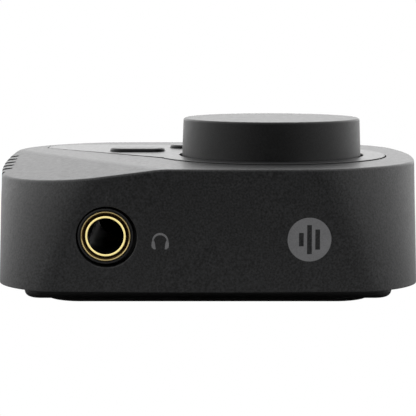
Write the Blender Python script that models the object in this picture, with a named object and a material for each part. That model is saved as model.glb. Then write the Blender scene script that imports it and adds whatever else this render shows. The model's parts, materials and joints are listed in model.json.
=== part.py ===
"""Desktop audio interface: a moulded shell on a black base, with a large volume knob, two push buttons,
a headphone socket at the front, and an input socket and a USB-C port at the back.

Metres, +Z up, front face towards -Y, +X to the right as seen from the front.
The origin is the bottom centre of the whole object, on the surface that it stands on.
"""

import math

import bmesh
import bpy
from mathutils import Matrix, Vector

# Clearance left between neighbouring pieces
GAP = 0.0003

# Shell: where two values are given, they are at its bottom edge and at its top
BODY_BOTTOM = 0.0036
BODY_TOP = 0.0255
BODY_HALF_WIDTH = (0.0402, 0.04045)
BODY_HALF_DEPTH = (0.0343, 0.0340)
BODY_CORNER = (0.0100, 0.0181)
SIDE_BOW = (0.0030, 0.0064)
FRONT_BOW = (0.0016, 0.0012)
TOP_FILLET = 0.0004
WALL = 0.002
CEILING = 0.0225

# Falling facet at the front left of the top: where it starts, which way it falls, how steep it is, and how
# far and in how many flat strips its upper edge curves over
FACET_START = Vector((-0.0065, -0.0340))
FACET_FALL = Vector((-0.819, -0.574)).normalized()
FACET_SLOPE = 0.162
FACET_BLEND = 0.0024
FACET_STRIPS = 3
FACET_LOW_Z = 0.0185

# Knob and its encoder
KNOB_CENTRE = Vector((0.01257, -0.0022))
KNOB_BASE_R = 0.01774
KNOB_TOP_R = 0.01744
KNOB_BASE_Z = 0.0247
KNOB_TOP_Z = 0.03295
KNOB_EDGE = 0.0004
KNOB_WALL = 0.0016
KNOB_ROOF = 0.0018
HUB_LOW_Z = 0.0277
HUB_R = 0.0055
HUB_PLATE = 0.0011
KNOB_OPENING_R = 0.01825
SHAFT_R = 0.003
SHAFT_FLAT = 0.0021
SHAFT_FIT = 0.00015
SHAFT_LOW_Z = 0.0194
SHAFT_STEP_Z = 0.0273
BUSH_R = 0.0035
BUSH_TOP_Z = 0.0271
WASHER_R = 0.0056
WASHER_TOP_Z = 0.0249
NUT_R = 0.0057
NUT_Z = (0.0252, 0.0269)
ENCODER_HALF = Vector((0.0060, 0.0062))

# Inlay on the top
INLAY_R = 0.0225
INLAY_THICK = 0.0012
INLAY_SEAM = 0.00016
INLAY_LEFT = -0.0340
INLAY_CORNER = Vector((-0.0272, 0.0185))
INLAY_CORNER_R = 0.0068
INLAY_DIAGONAL = -0.0183
POCKET_FLOOR = 0.0240

# Push buttons
BUTTON_PLACES = {"left": Vector((-0.0145, 0.0067)), "right": Vector((-0.0024, 0.0161))}
BUTTON_HALF_LENGTH = 0.0056
BUTTON_HALF_WIDTH = 0.0028
BUTTON_TOP_Z = 0.0264
BUTTON_FLANGE = 0.0008
BUTTON_FLANGE_HIGH = 0.0012
PLUNGER_R = 0.0017
PLUNGER_LOW_Z = 0.0189
SWITCH_HALF = Vector((0.0030, 0.0030))
SWITCH_TOP_Z = 0.0196
SWITCH_BORE_Z = 0.0181

# Sockets for 6.35 mm plugs
JACK_X = {"front": -0.01817, "rear": 0.0180}
JACK_Z = 0.01355
JACK_RECESS = 0.0008
JACK_SET_BACK = 0.0020
JACK_BORE_R = 0.0032
JACK_SLEEVE_R = 0.00447
JACK_NOSE_R = 0.0050
JACK_HOLE_R = 0.0054
JACK_HOLE_SHIFT = Vector((0.00015, -0.0001))
JACK_HALF_WIDTH = 0.0070
JACK_HALF_HEIGHT = 0.0056
JACK_LENGTH = 0.0235
JACK_LIP_R = 0.0036
JACK_SLEEVE_DEPTH = 0.0060
JACK_SLOT_HALF = 0.0014
JACK_SLOT_Y = (0.0095, 0.0015)
CONTACT_HALF = 0.0011
CONTACT_Y = (0.0090, 0.0020)
CONTACT_THICK = 0.0003

# USB-C port
USB_X = -0.0100
USB_HALF_WIDTH = 0.00447
USB_HALF_HEIGHT = 0.00163
USB_LENGTH = 0.0074
USB_RECESS = 0.0005
USB_WALL = 0.0003
USB_FLOOR = 0.0020
USB_TONGUE_HALF = (0.00335, 0.00035)
USB_TONGUE_SET_BACK = 0.0009

# Base, pad and boards
BASE_BOTTOM = 0.0009
BASE_STEP = 0.0038
BASE_TOP = 0.0049
PLINTH_HALF = Vector((0.0341, 0.0262))
PLINTH_CORNER = 0.0035
PLINTH_EDGE = ((0.0, 0.0011), (0.0004, 0.0004), (0.0011, 0.0))
PAD_HALF = Vector((0.0306, 0.0240))
PAD_CORNER = 0.007
PAD_TOP = 0.0006
MAIN_BOARD_Z = (0.0060, 0.0076)
MAIN_BOARD_HALF = Vector((0.0252, 0.0300))
BOARD_CORNER = 0.002
CONTROL_BOARD_Z = (0.0153, 0.0169)
CONTROL_BOARD_OUTLINE = ((0.0020, -0.0145), (0.0225, -0.0145), (0.0225, 0.0045), (0.0090, 0.0045),
                         (0.0090, 0.0215), (-0.0205, 0.0215), (-0.0205, -0.0005), (0.0020, -0.0005))
BASE_SCREWS = {"front_left": (-0.028, -0.015), "front_right": (0.028, -0.015),
               "rear_left": (-0.028, 0.015), "rear_right": (0.028, 0.015)}
BOARD_SCREWS = {"front": (0.0020, -0.0230), "right": (0.0222, -0.0225),
                "left": (-0.0222, 0.0228), "rear": (0.0040, 0.0225)}
CONTROL_SCREWS = {"left": (-0.0180, 0.0185), "right": (0.0203, -0.0122)}
SCREW_R = 0.00095
SCREW_HEAD_R = 0.0021
SCREW_HEAD_HIGH = 0.0010
SCREW_SEAT_Z = 0.0026
BASE_SCREW_LONG = 0.0085
BOARD_SCREW_LONG = 0.0045
CONTROL_SCREW_LONG = 0.0055
BOSS_R = 0.0024
BOSS_HOLE_TOP = 0.0125
POST_R = 0.0021
POST_HOLE_TOP = 0.0212
STANDOFF_R = 0.0024

# Parts on the main board: x, y, width, depth and height of each box, then x and y of each round can
BOARD_BOXES = {
    "codec_chip": (0.0020, -0.0100, 0.0070, 0.0070, 0.0010),
    "usb_controller_chip": (-0.0100, 0.0120, 0.0060, 0.0060, 0.0010),
    "headphone_amplifier_chip": (-0.0040, -0.0190, 0.0050, 0.0040, 0.0012),
    "crystal_can": (-0.0035, 0.0160, 0.0032, 0.0025, 0.0008),
    "power_inductor": (-0.0195, 0.0090, 0.0050, 0.0050, 0.0028),
    "relay_block": (0.0160, -0.0080, 0.0060, 0.0090, 0.0050),
}
BOARD_CANS = {"input_capacitor": (0.0080, 0.0120), "output_capacitor": (-0.0055, -0.0040),
              "supply_capacitor": (-0.0190, 0.0160)}
PART_EDGE = 0.0001
CAN_R = 0.0025
CAN_EDGE = 0.0003
CAN_HIGH = 0.0054
HEADER_X = (0.0030, 0.0080)
HEADER_Y = (-0.0003, 0.0022)

# Vents over the left edge
VENT_COUNT = 6
VENT_PITCH = 0.0035
VENT_WIDTH = 0.0010
VENT_FIRST_Y = -0.0147
VENT_INNER_X = -0.0380
VENT_LOW_Z = 0.0150

# Segment counts
CORNER_STEPS = 6
SIDE_STEPS = 4
ROUND_STEPS = 32
SMALL_STEPS = 16
TINY_STEPS = 12


def clear_scene():
    for obj in list(bpy.data.objects):
        bpy.data.objects.remove(obj, do_unlink=True)


def material(name, colour, roughness, metallic=0.0):
    made = bpy.data.materials.new(name)
    made.use_nodes = True
    shader = made.node_tree.nodes["Principled BSDF"]
    shader.inputs["Base Color"].default_value = (*colour, 1.0)
    shader.inputs["Roughness"].default_value = roughness
    shader.inputs["Metallic"].default_value = metallic
    return made


def add_object(name, bm, finish, place=(0, 0, 0), parent=None, smooth=True):
    """Turns a bmesh into an object, with round faces shaded smooth up to 35 degrees."""
    bmesh.ops.recalc_face_normals(bm, faces=bm.faces)
    mesh = bpy.data.meshes.new(name)
    bm.to_mesh(mesh)
    bm.free()
    mesh.materials.append(finish)
    if smooth:
        mesh.shade_smooth()
        mesh.set_sharp_from_angle(angle=math.radians(35))
    obj = bpy.data.objects.new(name, mesh)
    obj.location = place
    obj.parent = parent
    bpy.context.scene.collection.objects.link(obj)
    return obj


def add_cutter(name, bm):
    cutter = add_object(name, bm, bpy.data.materials["cutter"], smooth=False)
    cutter.hide_render = True
    cutter.display_type = "WIRE"
    return cutter


def apply_boolean(obj, other, operation):
    modifier = obj.modifiers.new(other.name, "BOOLEAN")
    modifier.operation = operation
    modifier.object = other
    modifier.solver = "EXACT"


def cut(obj, name, bm):
    apply_boolean(obj, add_cutter(name, bm), "DIFFERENCE")


def join(obj, name, bm):
    apply_boolean(obj, add_cutter(name, bm), "UNION")


def loft(rings):
    """A closed body through rings of equal length, each a list of (x, y, z), with flat ends."""
    bm = bmesh.new()
    loops = [[bm.verts.new(point) for point in ring] for ring in rings]
    for lower, upper in zip(loops, loops[1:]):
        for i in range(len(lower)):
            j = (i + 1) % len(lower)
            bm.faces.new((lower[i], lower[j], upper[j], upper[i]))
    bm.faces.new(reversed(loops[0]))
    bm.faces.new(loops[-1])
    return bm


def at_height(outline, z):
    return [(x, y, z) for x, y in outline]


def prism(outline, low, high):
    return loft([at_height(outline, low), at_height(outline, high)])


def arc(centre, radius, start, end, steps):
    """Points on an arc from start to end, in degrees, both ends included."""
    angles = [math.radians(start + (end - start) * i / steps) for i in range(steps + 1)]
    return [(centre[0] + radius * math.cos(a), centre[1] + radius * math.sin(a)) for a in angles]


def circle(centre, radius, steps=ROUND_STEPS):
    return arc(centre, radius, 0, 360 * (steps - 1) / steps, steps - 1)


def rounded_rectangle(half, radius, corner_steps=CORNER_STEPS, side_steps=1):
    """Anticlockwise outline; side_steps adds points along each straight side."""
    corners = [(1, -1, -90), (1, 1, 0), (-1, 1, 90), (-1, -1, 180)]
    points = []
    for sx, sy, start in corners:
        middle = (sx * (half[0] - radius), sy * (half[1] - radius))
        points.append(arc(middle, radius, start, start + 90, corner_steps))
    outline = []
    for here, following in zip(points, points[1:] + points[:1]):
        outline += here
        for i in range(1, side_steps):
            share = i / side_steps
            outline.append(tuple(Vector(here[-1]).lerp(Vector(following[0]), share)))
    return outline


def bowed_outline(end, inset):
    """The shell's outline at its bottom edge (end 0) or its top (end 1), whose four sides bow outwards."""
    half = (BODY_HALF_WIDTH[end] - inset, BODY_HALF_DEPTH[end] - inset)
    outline = []
    for x, y in rounded_rectangle(half, BODY_CORNER[end] - inset, CORNER_STEPS, SIDE_STEPS):
        across = x / half[0]
        along = y / half[1]
        outline.append((x - SIDE_BOW[end] * across * along**2, y - FRONT_BOW[end] * along * across**2))
    return outline


def body_ring(inset, z):
    """The shell's outline at height z, between the bottom one and the top one, moved in by inset."""
    share = (z - BODY_BOTTOM) / (BODY_TOP - BODY_BOTTOM)
    ends = zip(bowed_outline(0, inset), bowed_outline(1, inset))
    return [(*Vector(low).lerp(Vector(high), share), z) for low, high in ends]


def facet_height(distance):
    """How far the top has fallen at this distance down the facet."""
    step = FACET_BLEND / FACET_STRIPS
    fallen = FACET_SLOPE * max(distance - FACET_BLEND, 0.0)
    for i in range(FACET_STRIPS):
        fallen += FACET_SLOPE * (i + 0.5) / FACET_STRIPS * min(max(distance - i * step, 0.0), step)
    return fallen


def sink_facet(bm):
    """Lowers the upper part of a body by the facet, first cutting it along the edges of the facet's strips."""
    for i in range(FACET_STRIPS + 1):
        point = FACET_START + FACET_FALL * (FACET_BLEND * i / FACET_STRIPS)
        bmesh.ops.bisect_plane(
            bm,
            geom=bm.verts[:] + bm.edges[:] + bm.faces[:],
            plane_co=(*point, 0.0),
            plane_no=(*FACET_FALL, 0.0),
        )
    for vert in bm.verts:
        if vert.co.z > FACET_LOW_Z:
            vert.co.z -= facet_height((vert.co.xy - FACET_START).dot(FACET_FALL))


def shell_block():
    """The shell's outer form, with a filleted top edge."""
    rings = [body_ring(0.0, BODY_BOTTOM), body_ring(0.0, FACET_LOW_Z - GAP)]
    for angle in (0, 30, 60, 90):
        turn = math.radians(angle)
        inset = TOP_FILLET * (1 - math.cos(turn))
        rings.append(body_ring(inset, BODY_TOP - TOP_FILLET * (1 - math.sin(turn))))
    bm = loft(rings)
    sink_facet(bm)
    return bm


def cavity_block():
    bm = loft([body_ring(WALL, z) for z in (BODY_BOTTOM - WALL, FACET_LOW_Z - GAP, CEILING)])
    sink_facet(bm)
    return bm


def inlay_outline(grow):
    """A disc round the knob that runs out to a corner at the back left, along a diagonal front edge."""
    radius = INLAY_R + grow
    diagonal = INLAY_DIAGONAL - grow * math.sqrt(2)
    left = INLAY_LEFT - grow
    corner_r = INLAY_CORNER_R + grow
    to_line = (diagonal - KNOB_CENTRE.x - KNOB_CENTRE.y) / math.sqrt(2)
    meet = 225 - math.degrees(math.acos(-to_line / radius))
    between = INLAY_CORNER - KNOB_CENTRE
    lean = math.degrees(math.asin((radius - corner_r) / between.length))
    tangent = math.degrees(math.atan2(between.y, between.x)) - 90 + lean
    outline = arc(KNOB_CENTRE, radius, meet - 360, tangent, ROUND_STEPS)
    outline += arc(INLAY_CORNER, corner_r, tangent, 180, CORNER_STEPS)
    outline.append((left, diagonal - left))
    return outline


def pill(centre, half_length, half_width, steps=CORNER_STEPS):
    run = half_length - half_width
    right = arc((centre[0] + run, centre[1]), half_width, -90, 90, steps)
    left = arc((centre[0] - run, centre[1]), half_width, 90, 270, steps)
    return right + left


def cylinder(centre, radius, low, high, steps=SMALL_STEPS):
    return prism(circle(centre, radius, steps), low, high)


def box(low, high, bevel=0.0):
    bm = bmesh.new()
    bmesh.ops.create_cube(bm, size=1.0)
    size = Vector(high) - Vector(low)
    middle = (Vector(high) + Vector(low)) / 2
    bmesh.ops.transform(bm, matrix=Matrix.LocRotScale(middle, None, size), verts=bm.verts)
    if bevel:
        bmesh.ops.bevel(bm, geom=bm.edges[:], offset=bevel, segments=1, affect="EDGES")
    return bm


def turned(profile, steps=ROUND_STEPS, closed=False):
    """Spins (radius, z) points about Z. An open profile runs from axis to axis; a closed one is a ring."""
    bm = bmesh.new()
    verts = [bm.verts.new((r, 0, z)) for r, z in profile]
    pairs = list(zip(verts, verts[1:]))
    if closed:
        pairs.append((verts[-1], verts[0]))
    edges = [bm.edges.new(pair) for pair in pairs]
    bmesh.ops.spin(bm, geom=verts + edges, axis=(0, 0, 1), cent=(0, 0, 0),
                   angle=math.tau, steps=steps, use_merge=True)
    bmesh.ops.remove_doubles(bm, verts=bm.verts, dist=0.000001)
    return bm


def moved(bm, x=0.0, y=0.0, z=0.0):
    bmesh.ops.translate(bm, verts=bm.verts, vec=(x, y, z))
    return bm


def turned_forward(bm, x, y, z, facing):
    """Lays a body turned about Z along Y; facing is -1 for the front of the object and 1 for the back."""
    turn = Matrix.Rotation(-facing * math.pi / 2, 3, "X")
    bmesh.ops.rotate(bm, verts=bm.verts, cent=(0, 0, 0), matrix=turn)
    return moved(bm, x, y, z)


def mirror_if_rear(bm, facing):
    """Turns a body built for the front round to the back."""
    if facing > 0:
        bmesh.ops.rotate(bm, verts=bm.verts, cent=(0, 0, 0), matrix=Matrix.Rotation(math.pi, 3, "Z"))
    return bm


def build_shell(finish):
    shell = add_object("top_shell", shell_block(), finish)
    cut(shell, "shell_cavity", cavity_block())
    for name, (x, y) in BASE_SCREWS.items():
        join(shell, f"boss_{name}", cylinder((x, y), BOSS_R, BASE_TOP + GAP, CEILING + GAP))
        cut(shell, f"boss_hole_{name}", cylinder((x, y), SCREW_R + SHAFT_FIT, 0, BOSS_HOLE_TOP, TINY_STEPS))
    for name, (x, y) in CONTROL_SCREWS.items():
        join(shell, f"post_{name}", cylinder((x, y), POST_R, CONTROL_BOARD_Z[1] + GAP, CEILING + GAP))
        hole = cylinder((x, y), SCREW_R + SHAFT_FIT, CONTROL_BOARD_Z[0], POST_HOLE_TOP, TINY_STEPS)
        cut(shell, f"post_hole_{name}", hole)
    cut(shell, "inlay_pocket", prism(inlay_outline(INLAY_SEAM), POCKET_FLOOR, BODY_TOP + WALL))
    cut(shell, "bush_hole", cylinder(KNOB_CENTRE, BUSH_R + GAP, CEILING - WALL, BODY_TOP))
    for name, place in BUTTON_PLACES.items():
        outline = pill(place, BUTTON_HALF_LENGTH + GAP, BUTTON_HALF_WIDTH + GAP)
        cut(shell, f"button_hole_{name}", prism(outline, CEILING - WALL, BODY_TOP))
    for name, facing in (("front", -1), ("rear", 1)):
        hole = cylinder((0, 0), JACK_HOLE_R, -WALL, WALL, ROUND_STEPS)
        x = JACK_X[name] + JACK_HOLE_SHIFT.x
        z = JACK_Z + JACK_HOLE_SHIFT.y
        y = facing * (BODY_HALF_DEPTH[0] - WALL / 2)
        cut(shell, f"{name}_jack_hole", turned_forward(hole, x, y, z, facing))
    usb_hole = prism(pill((0, 0), USB_HALF_WIDTH + 2 * GAP, USB_HALF_HEIGHT + 2 * GAP), -WALL, WALL)
    cut(shell, "usb_hole", turned_forward(usb_hole, USB_X, BODY_HALF_DEPTH[0] - WALL / 2, usb_height(), 1))
    for i in range(VENT_COUNT):
        y = VENT_FIRST_Y + i * VENT_PITCH
        low = (-BODY_HALF_WIDTH[1] - WALL, y - VENT_WIDTH / 2, VENT_LOW_Z)
        high = (VENT_INNER_X, y + VENT_WIDTH / 2, BODY_TOP + WALL)
        cut(shell, f"vent_{i + 1}", box(low, high))


def build_inlay(finish):
    inlay = add_object("top_inlay", prism(inlay_outline(0.0), BODY_TOP - INLAY_THICK, BODY_TOP), finish)
    opening = cylinder(KNOB_CENTRE, KNOB_OPENING_R, POCKET_FLOOR, BODY_TOP + WALL, ROUND_STEPS)
    cut(inlay, "knob_opening", opening)
    for name, place in BUTTON_PLACES.items():
        outline = pill(place, BUTTON_HALF_LENGTH + INLAY_SEAM, BUTTON_HALF_WIDTH + INLAY_SEAM)
        cut(inlay, f"inlay_hole_{name}", prism(outline, POCKET_FLOOR, BODY_TOP + WALL))


def build_base(base_finish, pad_finish):
    """The base plate closes the shell from below, stands on the pad and carries the main board."""
    rings = []
    for rise, inset in (*PLINTH_EDGE, (BASE_STEP - BASE_BOTTOM, 0.0)):
        half = PLINTH_HALF - Vector((inset, inset))
        outline = rounded_rectangle(half, PLINTH_CORNER - inset, CORNER_STEPS, SIDE_STEPS)
        rings.append(at_height(outline, BASE_BOTTOM + rise))
    rings += [body_ring(WALL + GAP, BASE_STEP), body_ring(WALL + GAP, BASE_TOP)]
    base = add_object("base_plate", loft(rings), base_finish)
    for name, (x, y) in BOARD_SCREWS.items():
        join(base, f"standoff_{name}", cylinder((x, y), STANDOFF_R, BASE_STEP, MAIN_BOARD_Z[0] - GAP))
        hole = cylinder((x, y), SCREW_R + SHAFT_FIT, BASE_BOTTOM + 3 * GAP, MAIN_BOARD_Z[1], TINY_STEPS)
        cut(base, f"standoff_hole_{name}", hole)
    for name, (x, y) in BASE_SCREWS.items():
        cut(base, f"screw_hole_{name}", cylinder((x, y), SCREW_R + GAP, 0, MAIN_BOARD_Z[1], TINY_STEPS))
        cut(base, f"counterbore_{name}", cylinder((x, y), SCREW_HEAD_R + GAP, 0, SCREW_SEAT_Z + GAP))
    pad_low = rounded_rectangle(PAD_HALF - Vector((GAP, GAP)), PAD_CORNER, CORNER_STEPS, 1)
    pad_full = rounded_rectangle(PAD_HALF, PAD_CORNER, CORNER_STEPS, 1)
    add_object("rubber_pad", loft([
        at_height(pad_low, 0.0),
        at_height(pad_full, GAP),
        at_height(pad_full, PAD_TOP),
    ]), pad_finish)


def build_screw(name, place, head_z, up, length, finish):
    """A pan-head screw: head_z is the seat of its head, and up is 1 if the shank points up."""
    profile = [
        (0, head_z - up * SCREW_HEAD_HIGH), (SCREW_HEAD_R * 0.7, head_z - up * SCREW_HEAD_HIGH),
        (SCREW_HEAD_R, head_z - up * SCREW_HEAD_HIGH / 2), (SCREW_HEAD_R, head_z),
        (SCREW_R, head_z), (SCREW_R, head_z + up * length), (0, head_z + up * length),
    ]
    add_object(name, turned(profile, TINY_STEPS), finish, (*place, 0))


def build_screws(finish):
    for name, place in BASE_SCREWS.items():
        build_screw(f"base_screw_{name}", place, SCREW_SEAT_Z, 1, BASE_SCREW_LONG, finish)
    for name, place in BOARD_SCREWS.items():
        build_screw(f"board_screw_{name}", place, MAIN_BOARD_Z[1] + GAP, -1, BOARD_SCREW_LONG, finish)
    for name, place in CONTROL_SCREWS.items():
        build_screw(f"control_screw_{name}", place, CONTROL_BOARD_Z[0] - GAP, 1, CONTROL_SCREW_LONG, finish)


def build_boards(finish):
    outline = rounded_rectangle(MAIN_BOARD_HALF, BOARD_CORNER, 3)
    main = add_object("main_board", prism(outline, *MAIN_BOARD_Z), finish, smooth=False)
    for name, (x, y) in BOARD_SCREWS.items():
        cut(main, f"board_hole_{name}", cylinder((x, y), SCREW_R + GAP, BASE_TOP, JACK_Z, TINY_STEPS))
    plate = prism(CONTROL_BOARD_OUTLINE, *CONTROL_BOARD_Z)
    control = add_object("control_board", plate, finish, smooth=False)
    for name, (x, y) in CONTROL_SCREWS.items():
        cut(control, f"control_hole_{name}", cylinder((x, y), SCREW_R + GAP, JACK_Z, CEILING, TINY_STEPS))


def knob_profile():
    """The cap from the middle of its top, down its side and back up inside."""
    inside_z = KNOB_TOP_Z - KNOB_ROOF
    inner_r = KNOB_TOP_R - KNOB_WALL
    points = [(0, KNOB_TOP_Z)]
    for radial, z in arc((KNOB_TOP_R - KNOB_EDGE, KNOB_TOP_Z - KNOB_EDGE), KNOB_EDGE, 90, 0, 3):
        points.append((radial, z))
    points += [(KNOB_BASE_R, KNOB_BASE_Z), (KNOB_BASE_R - KNOB_WALL, KNOB_BASE_Z)]
    points += [(inner_r, inside_z), (0, inside_z)]
    return points


def d_shape(radius, flat):
    return [(min(x, flat), y) for x, y in circle((0, 0), radius, SMALL_STEPS)]


def build_knob(cap_finish, hub_finish, steel, axis):
    """The cap, the hub moulded inside it, and the encoder's shaft turn together about the knob's axis."""
    add_object("knob_cap", turned(knob_profile(), 64), cap_finish, parent=axis)
    hub_high = KNOB_TOP_Z - KNOB_ROOF - GAP
    plate = hub_high - HUB_PLATE
    plate_r = KNOB_TOP_R - KNOB_WALL - GAP
    profile = [(0, hub_high), (plate_r, hub_high), (plate_r, plate), (HUB_R, plate)]
    profile += [(HUB_R, HUB_LOW_Z), (0, HUB_LOW_Z)]
    hub = add_object("knob_hub", turned(profile), hub_finish, parent=axis)
    fit = SHAFT_R + SHAFT_FIT
    bore = prism(d_shape(fit, SHAFT_FLAT + SHAFT_FIT), HUB_LOW_Z - WALL, hub_high + WALL)
    cut(hub, "hub_bore", moved(bore, *KNOB_CENTRE))
    lower = circle((0, 0), SHAFT_R, SMALL_STEPS)
    upper = d_shape(SHAFT_R, SHAFT_FLAT)
    shaft = loft([at_height(lower, SHAFT_LOW_Z), at_height(lower, SHAFT_STEP_Z),
                  at_height(upper, SHAFT_STEP_Z), at_height(upper, hub_high)])
    add_object("encoder_shaft", shaft, steel, parent=axis)


def build_encoder(body_finish, steel, brass):
    x, y = KNOB_CENTRE
    low = CONTROL_BOARD_Z[1] + GAP
    high = CEILING - GAP
    block = box((*(KNOB_CENTRE - ENCODER_HALF), low), (*(KNOB_CENTRE + ENCODER_HALF), high), GAP)
    body = add_object("encoder_body", block, body_finish, smooth=False)
    cut(body, "encoder_bore", cylinder((x, y), SHAFT_R + GAP, SHAFT_LOW_Z - GAP, CEILING + WALL))
    bore = SHAFT_R + SHAFT_FIT
    profile = [(bore, high + GAP), (BUSH_R, high + GAP), (BUSH_R, BUSH_TOP_Z - GAP)]
    profile += [(BUSH_R - GAP / 2, BUSH_TOP_Z), (bore, BUSH_TOP_Z)]
    add_object("encoder_bush", moved(turned(profile, closed=True), x, y), brass)
    hole = BUSH_R + SHAFT_FIT
    under = POCKET_FLOOR + GAP
    profile = [(hole, under), (WASHER_R, under), (WASHER_R, WASHER_TOP_Z), (hole, WASHER_TOP_Z)]
    add_object("encoder_washer", moved(turned(profile, closed=True), x, y), steel)
    nut = add_object("encoder_nut", cylinder((x, y), NUT_R, *NUT_Z, 6), steel, smooth=False)
    cut(nut, "nut_hole", cylinder((x, y), hole, NUT_Z[0] - WALL, NUT_Z[1] + WALL))


def build_button(name, place, cap_finish, plunger_finish, switch_finish, joint):
    """A cap held under the ceiling by its flange, the switch's plunger, and the switch on its board."""
    flange_top = CEILING - GAP
    flange_low = flange_top - BUTTON_FLANGE_HIGH
    head = pill((0, 0), BUTTON_HALF_LENGTH, BUTTON_HALF_WIDTH)
    rim = pill((0, 0), BUTTON_HALF_LENGTH - GAP, BUTTON_HALF_WIDTH - GAP)
    flange = pill((0, 0), BUTTON_HALF_LENGTH + BUTTON_FLANGE, BUTTON_HALF_WIDTH + BUTTON_FLANGE)
    cap = loft([at_height(flange, flange_low), at_height(flange, flange_top), at_height(head, flange_top),
                at_height(head, BUTTON_TOP_Z - GAP), at_height(rim, BUTTON_TOP_Z)])
    add_object(f"{name}_button_cap", cap, cap_finish, parent=joint)
    plunger = cylinder((0, 0), PLUNGER_R, PLUNGER_LOW_Z, flange_low - GAP)
    add_object(f"{name}_switch_plunger", plunger, plunger_finish, parent=joint)
    low = CONTROL_BOARD_Z[1] + GAP
    block = box((*(place - SWITCH_HALF), low), (*(place + SWITCH_HALF), SWITCH_TOP_Z), GAP)
    switch = add_object(f"{name}_switch_body", block, switch_finish, smooth=False)
    cut(switch, f"{name}_switch_bore", cylinder(place, PLUNGER_R + GAP, SWITCH_BORE_Z, flange_low))


def build_jack(name, facing, housing_finish, gold, spring_finish):
    """A 6.35 mm socket. Pieces are built for the front wall and turned round for the rear one."""
    x = JACK_X[name] * -facing
    nose = -BODY_HALF_DEPTH[0] + JACK_RECESS
    front = -BODY_HALF_DEPTH[0] + WALL + JACK_SET_BACK
    back = front + JACK_LENGTH
    low = (x - JACK_HALF_WIDTH, front, JACK_Z - JACK_HALF_HEIGHT)
    high = (x + JACK_HALF_WIDTH, back, JACK_Z + JACK_HALF_HEIGHT)
    housing = add_object(f"{name}_jack_housing", mirror_if_rear(box(low, high, GAP), facing), housing_finish,
                         smooth=False)
    ring = turned_forward(cylinder((0, 0), JACK_NOSE_R, -0.001, 0, ROUND_STEPS), x, front, JACK_Z, -1)
    bmesh.ops.translate(ring, verts=[v for v in ring.verts if v.co.y < front + GAP], vec=(0, nose - front, 0))
    join(housing, f"{name}_jack_nose", mirror_if_rear(ring, facing))
    sleeve_end = front + JACK_SLEEVE_DEPTH
    socket = turned_forward(cylinder((0, 0), JACK_SLEEVE_R + SHAFT_FIT, -0.010, 0.010, ROUND_STEPS),
                            x, sleeve_end + GAP - 0.010, JACK_Z, -1)
    cut(housing, f"{name}_jack_socket", mirror_if_rear(socket, facing))
    bore = cylinder((0, 0), JACK_BORE_R + SHAFT_FIT, -BODY_HALF_WIDTH[0], BODY_HALF_WIDTH[0], ROUND_STEPS)
    cut(housing, f"{name}_jack_bore", mirror_if_rear(turned_forward(bore, x, 0, JACK_Z, -1), facing))
    beyond = 2 * JACK_HALF_HEIGHT
    slot = box((x - JACK_SLOT_HALF, back - JACK_SLOT_Y[0], JACK_Z - beyond),
               (x + JACK_SLOT_HALF, back - JACK_SLOT_Y[1], JACK_Z + beyond))
    cut(housing, f"{name}_jack_slots", mirror_if_rear(slot, facing))
    length = sleeve_end - nose
    sleeve = turned([
        (JACK_BORE_R, GAP * 2), (JACK_BORE_R + GAP / 2, GAP * 1.2), (JACK_LIP_R, GAP * 1.2),
        (JACK_LIP_R, GAP * 2.6), (JACK_SLEEVE_R - GAP, 0), (JACK_SLEEVE_R, 0), (JACK_SLEEVE_R, length),
        (JACK_BORE_R, length),
    ], closed=True)
    bmesh.ops.rotate(sleeve, verts=sleeve.verts, cent=(0, 0, 0), matrix=Matrix.Rotation(-math.pi / 2, 3, "X"))
    moved(sleeve, x, nose + GAP / 2, JACK_Z)
    add_object(f"{name}_jack_sleeve", mirror_if_rear(sleeve, facing), gold)
    for side, sign in (("tip", 1), ("ring", -1)):
        strip = mirror_if_rear(contact_strip(x, back, sign), facing)
        add_object(f"{name}_jack_{side}_contact", strip, spring_finish, smooth=False)


def contact_strip(x, back, sign):
    """A bent spring strip in one of the housing's slots, its knee just inside the bore."""
    near = back - CONTACT_Y[0]
    far = back - CONTACT_Y[1]
    knee = (near + far) / 2
    outer = JACK_HALF_HEIGHT - GAP
    inner = outer - CONTACT_THICK
    side_view = [(near, outer), (near, inner), (knee, JACK_BORE_R - CONTACT_THICK),
                 (far, inner), (far, outer), (knee, JACK_BORE_R)]
    left = [(x - CONTACT_HALF, y, JACK_Z + sign * z) for y, z in side_view]
    right = [(x + CONTACT_HALF, y, JACK_Z + sign * z) for y, z in side_view]
    return loft([left, right])


def usb_height():
    return MAIN_BOARD_Z[1] + GAP + USB_HALF_HEIGHT


def build_usb(steel, dark):
    """The port's metal shell and the insulator with its tongue, laid along Y and open to the back."""
    outer = prism(pill((0, 0), USB_HALF_WIDTH, USB_HALF_HEIGHT), 0, USB_LENGTH)
    mouth = BODY_HALF_DEPTH[0] - USB_RECESS
    z = usb_height()
    shell = add_object("usb_port_shell", turned_forward(outer, USB_X, mouth - USB_LENGTH, z, 1), steel)
    inner = pill((0, 0), USB_HALF_WIDTH - USB_WALL, USB_HALF_HEIGHT - USB_WALL)
    through = prism(inner, -WALL, USB_LENGTH + WALL)
    cut(shell, "usb_inside", turned_forward(through, USB_X, mouth - USB_LENGTH, z, 1))
    slack = USB_WALL + SHAFT_FIT
    plug_block = prism(pill((0, 0), USB_HALF_WIDTH - slack, USB_HALF_HEIGHT - slack), GAP, USB_FLOOR)
    laid = turned_forward(plug_block, USB_X, mouth - USB_LENGTH, z, 1)
    insulator = add_object("usb_port_insulator", laid, dark)
    tongue = box((USB_X - USB_TONGUE_HALF[0], mouth - USB_LENGTH + USB_FLOOR / 2, z - USB_TONGUE_HALF[1]),
                 (USB_X + USB_TONGUE_HALF[0], mouth - USB_TONGUE_SET_BACK, z + USB_TONGUE_HALF[1]))
    join(insulator, "usb_tongue", tongue)


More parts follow.
